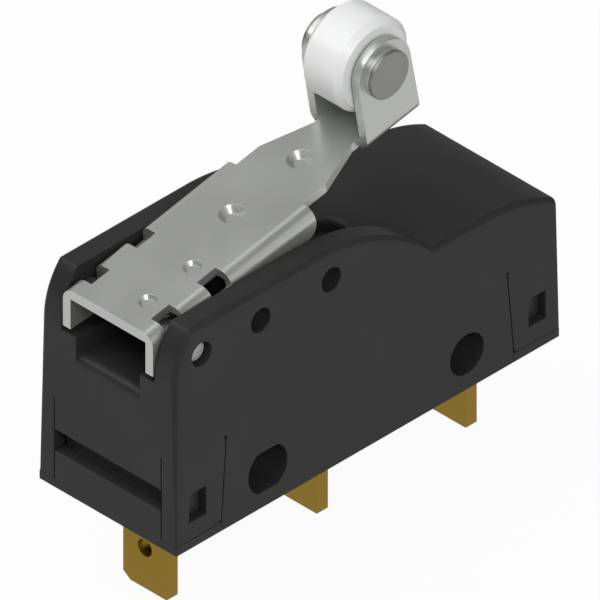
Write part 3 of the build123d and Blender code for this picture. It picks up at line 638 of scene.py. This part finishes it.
class MICROSWITCH_OT_case(Operator):
    """Give the case and the base their moulded finish, and cut the end of the trough"""

    bl_idname = "microswitch.case"
    bl_label = "Finish the case"

    def execute(self, context):
        s = context.scene.microswitch_case
        # Edges 1.6 times lighter: a painted sheen on the edges, as well as wear.
        wear_and_painted_light = [min(1.0, c * 1.6) for c in s.colour]
        looks = (s.colour, s.roughness, s.shine, s.grain_size, s.grain_depth, s.edge_width, wear_and_painted_light)
        dress(plastic("case_moulding", *looks), "housing")
        dress(plastic("base_moulding", *looks), "base")
        self.shape_trough_end(s)
        return {"FINISHED"}

    def shape_trough_end(self, s):
        """Level block between the cheeks, with the round well where the trough ends."""
        low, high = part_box("housing")
        skim = 0.002 * MM
        spare = 0.3 * MM
        top = low.z + s.block_height
        floor = low.z + s.trough_floor
        half = s.trough_width / 2
        foot = high.x - s.foot_reach
        centre = high.x - s.well_reach - s.well_radius
        step = solid(
            "well_step",
            [rectangle(centre, foot - MM, half + spare, z) for z in (floor - spare, top + spare)],
        )
        level = solid(
            "block_level",
            [rectangle(centre - MM, foot + spare, half + skim, z) for z in (top + skim, high.z + MM)],
        )
        rings = [slot_outline(centre - MM, centre, s.well_radius, floor + skim)]
        steps = 6
        for i in range(steps + 1):
            rise = i / steps
            flare = s.well_rim * (1 - math.sqrt(1 - rise**2))
            z = top + s.well_rim * (rise - 1)
            rings.append(slot_outline(centre - MM, centre, s.well_radius + flare, z))
        rings.append(slot_outline(centre - MM, centre, s.well_radius + s.well_rim, top + spare))
        well = solid("well_hollow", rings)
        reshape("housing", step, "UNION")
        reshape("housing", level, "DIFFERENCE")
        reshape("housing", well, "DIFFERENCE")
        parting = NODES["housing"].modifiers.new("sharp_edges", "EDGE_SPLIT")
        parting.split_angle = math.radians(30)
        NODES["housing"].modifiers.new("even_faces", "WEIGHTED_NORMAL").weight = 100


class MICROSWITCH_OT_terminals(Operator):
    """Give the three tabs their brass"""

    bl_idname = "microswitch.terminals"
    bl_label = "Finish the terminals"

    def execute(self, context):
        s = context.scene.microswitch_terminals
        brass = metal("tab_brass", s.colour, s.roughness, s.edge_width, metallic=0.85)
        dress(brass, "common_terminal", "open_terminal", "closed_terminal")
        return {"FINISHED"}


class MICROSWITCH_OT_mechanism(Operator):
    """Finish the contacts, the snap spring, its clamp and the plunger"""

    bl_idname = "microswitch.mechanism"
    bl_label = "Finish the mechanism"

    def execute(self, context):
        s = context.scene.microswitch_mechanism
        silver = metal("contact_silver", s.silver, 0.35, s.edge_width)
        dress(silver, "open_contact", "closed_contact", "moving_contact")
        bronze = metal("spring_bronze", s.bronze, 0.3, s.edge_width)
        dress(bronze, "snap_spring")
        steel = metal("clamp_steel", s.steel, 0.4, s.edge_width)
        dress(steel, "fulcrum_bracket", "clamp_plate", "clamp_rivet")
        # Edges 1.5 times lighter: a painted sheen on the edges, as well as wear.
        moulding = plastic(
            "plunger_moulding", s.plunger, roughness=0.45, shine=0.4, size=0.0002, depth=0.000002,
            edge_width=s.edge_width, wear_and_painted_light=[min(1.0, c * 1.5) for c in s.plunger],
        )
        dress(moulding, "plunger")
        return {"FINISHED"}


class MICROSWITCH_OT_lever(Operator):
    """Give the lever its plated steel and the hinge pin its turned steel and longer tips, its barrel painted
    dark as shade and its ends painted light
    """

    bl_idname = "microswitch.lever"
    bl_label = "Finish the lever"

    def execute(self, context):
        s = context.scene.microswitch_lever
        dress(metal("lever_steel", s.colour, s.roughness, s.edge_width), "lever")
        # The barrel's dark colour is painted shade; its ends get painted light below.
        pin = metal("hinge_pin_steel", s.pin_colour, 0.45, s.edge_width, metallic=0.3)
        low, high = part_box("hinge_pin")
        self.lengthen_pin(low, high, s.pin_tip)
        self.paint_lit_ends(pin, s.pin_lit_end_colour, high.y + s.pin_tip)
        dress(pin, "hinge_pin")
        return {"FINISHED"}

    def lengthen_pin(self, low, high, tip):
        """Round tips that bring the hinge pin's ends nearer to the mouths of its holes."""
        shoulder = 0.23 * MM
        chamfer = 0.05 * MM
        sides = 48
        wide = (high.x - low.x) / 2 - shoulder
        half = high.y + tip
        middle = (low + high) / 2
        narrow = wide - chamfer
        rings = [
            circle(Vector((middle.x, y, middle.z)), radius, sides, Vector((1, 0, 0)), Vector((0, 0, 1)))
            for y, radius in ((-half, narrow), (chamfer - half, wide), (half - chamfer, wide), (half, narrow))
        ]
        reshape("hinge_pin", solid("pin_tips", rings), "UNION")

    def paint_lit_ends(self, material, colour, half_length):
        """Painted light on the ends of a pin that lies along Y, beside a barrel painted dark as shade."""
        tree = material.node_tree
        shader = tree.nodes["Principled BSDF"]
        barrel = shader.inputs["Base Color"].links[0].from_socket
        ends = node(tree, "ShaderNodeGroup", (-3, -3), node_tree=shared_group("Cut ends"))
        ends.inputs["Half length"].default_value = half_length
        mixed = node(tree, "ShaderNodeMix", (-1, -2), data_type="RGBA")
        mixed.inputs["B"].default_value = (*colour, 1.0)
        join(
            tree,
            (ends.outputs["Mask"], mixed.inputs["Factor"]),
            (barrel, mixed.inputs["A"]),
            (mixed.outputs["Result"], shader.inputs["Base Color"]),
        )


class MICROSWITCH_OT_lift_spring(Operator):
    """Wind the lifting spring from round wire, with closed end turns"""

    bl_idname = "microswitch.lift_spring"
    bl_label = "Wind the lifting spring"

    def execute(self, context):
        s = context.scene.microswitch_lever
        low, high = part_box("lift_spring")
        wire = s.wire_thickness
        radius = (high.x - low.x - wire) / 2
        centre = (low + high) / 2
        sides = 10
        steps = 28
        closed = 0.75
        turns = s.wire_turns + 2 * closed
        path = []
        for i in range(int(steps * turns) + 1):
            t = i / steps
            lift = min(max((t - closed) / s.wire_turns, 0.0), 1.0)
            rise = 0.5 * wire * (min(t, closed) + max(t - turns + closed, 0.0))
            z = low.z + wire / 2 + rise + lift * (high.z - low.z - wire - closed * wire)
            x = centre.x + radius * math.cos(math.tau * t)
            y = centre.y + radius * math.sin(math.tau * t)
            path.append(Vector((x, y, z)))
        coil = tube("lift_coil", path, wire / 2, sides)
        steel = metal("spring_wire", s.wire_colour, 0.32, edge_width=wire / 8, metallic=1.0, size=wire)
        coil.data.materials.append(steel)
        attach(coil, "case")
        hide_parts("lift_spring")
        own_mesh(coil)
        return {"FINISHED"}


class MICROSWITCH_OT_roller(Operator):
    """Finish the white roller, its rivet pin and the washers"""

    bl_idname = "microswitch.roller"
    bl_label = "Finish the roller"

    def execute(self, context):
        s = context.scene.microswitch_roller
        # Edges 7% darker: painted shade on the roller's rims, as well as wear.
        white = plastic(
            "roller_plastic", s.colour, s.roughness, shine=0.5, size=0.0003, depth=0.000002,
            edge_width=s.edge_width, wear_and_painted_light=[c * 0.93 for c in s.colour],
        )
        dress(white, "roller")
        dress(metal("rivet_steel", s.pin_colour, 0.38, s.edge_width), "roller_pin")
        dress(metal("washer_steel", s.washer_colour, 0.25, s.edge_width), "pin_washers")
        return {"FINISHED"}


class MICROSWITCH_PT_panel(Panel):
    """Sidebar panel with the steps and the settings"""

    bl_idname = "MICROSWITCH_PT_panel"
    bl_label = "Micro switch"
    bl_space_type = "VIEW_3D"
    bl_region_type = "UI"
    bl_category = "Micro switch"

    def draw(self, context):
        column = self.layout.column()
        for step in STEPS:
            column.operator(step.bl_idname)
        for name in SETTINGS:
            group = getattr(context.scene, "microswitch_" + name)
            box = column.box()
            box.label(text=name.replace("_", " ").capitalize())
            for setting in group.bl_rna.properties:
                if setting.identifier not in ("name", "rna_type"):
                    box.prop(group, setting.identifier)


SETTINGS = {
    "stage": StageSettings,
    "case": CaseSettings,
    "terminals": TerminalSettings,
    "lever": LeverSettings,
    "roller": RollerSettings,
    "mechanism": MechanismSettings,
}
STEPS = (
    MICROSWITCH_OT_stage,
    MICROSWITCH_OT_case,
    MICROSWITCH_OT_terminals,
    MICROSWITCH_OT_mechanism,
    MICROSWITCH_OT_lever,
    MICROSWITCH_OT_lift_spring,
    MICROSWITCH_OT_roller,
)


def register():
    """Register the settings, the steps and the panel."""
    for made in (*SETTINGS.values(), *STEPS, MICROSWITCH_PT_panel):
        bpy.utils.register_class(made)
    for name, group in SETTINGS.items():
        setattr(bpy.types.Scene, "microswitch_" + name, PointerProperty(type=group))


def unregister():
    """Take the settings, the steps and the panel away again."""
    for name in SETTINGS:
        delattr(bpy.types.Scene, "microswitch_" + name)
    for made in reversed((*SETTINGS.values(), *STEPS, MICROSWITCH_PT_panel)):
        bpy.utils.unregister_class(made)


def main():
    """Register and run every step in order."""
    register()
    for step in STEPS:
        area, action = step.bl_idname.split(".")
        getattr(getattr(bpy.ops, area), action)()


if __name__ == "__main__":
    main()
